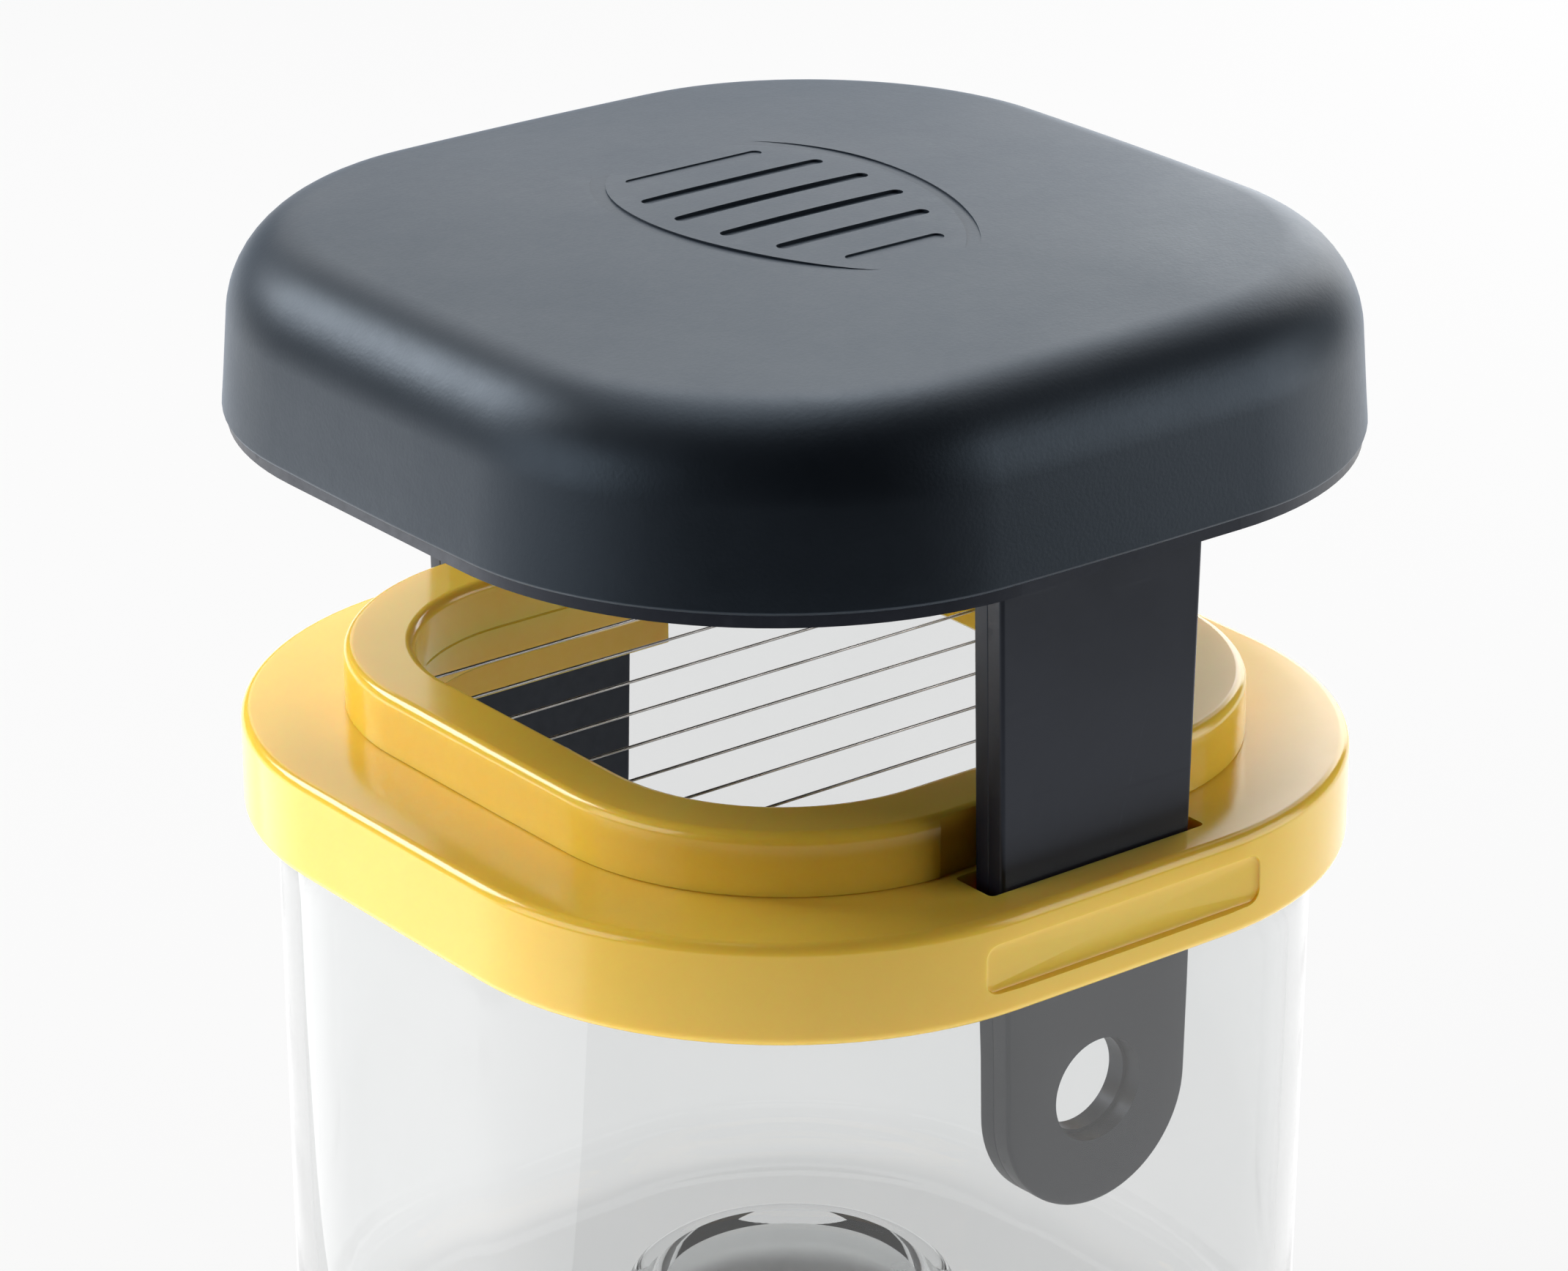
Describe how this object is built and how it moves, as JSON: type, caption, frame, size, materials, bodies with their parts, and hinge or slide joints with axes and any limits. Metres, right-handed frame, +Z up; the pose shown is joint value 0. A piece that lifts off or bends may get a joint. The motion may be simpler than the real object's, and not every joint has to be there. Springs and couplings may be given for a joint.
{
  "type": "egg slicer",
  "caption": "Push-down egg slicer: a soft-edged cap on flat legs presses an egg through parallel wires in a ring head that sits on a clear container.",
  "frame": {"origin": "centre of the container's base, on the surface it stands on", "axes": "+Z up along the cap's travel, +X along the cutting wires, the legs stand at -Y (front) and +Y (rear)"},
  "size_m": [0.0816, 0.0828, 0.1054],
  "materials": {
    "soft_shell": "soft-touch matt slate",
    "dark_moulding": "satin charcoal",
    "yellow_ring": "polished warm yellow, slightly translucent",
    "wire_steel": "drawn stainless wire",
    "clear_tub": "water-clear, polished"
  },
  "bodies": {
    "base": {"container": "clear_tub"},
    "slicer_head": {"flange_ring": "yellow_ring", "collar_ring": "yellow_ring", "wire_crimps": "wire_steel", "wire_1": "wire_steel", "wire_2": "wire_steel", "wire_3": "wire_steel", "wire_4": "wire_steel", "wire_5": "wire_steel", "wire_6": "wire_steel", "wire_7": "wire_steel", "wire_8": "wire_steel", "wire_9": "wire_steel"},
    "pusher": {"cap_shell": "soft_shell", "press_plate": "dark_moulding", "slat_comb": "dark_moulding", "front_leg": "dark_moulding", "rear_leg": "dark_moulding"}
  },
  "joints": [
    {"name": "head_lift", "type": "slide", "parent": "base", "child": "slicer_head", "axis": [0, 0, 1], "range_m": [0, 0.08]},
    {"name": "pusher_slide", "type": "slide", "parent": "slicer_head", "child": "pusher", "axis": [0, 0, 1], "range_m": [-0.0252, 0.06]}
  ]
}
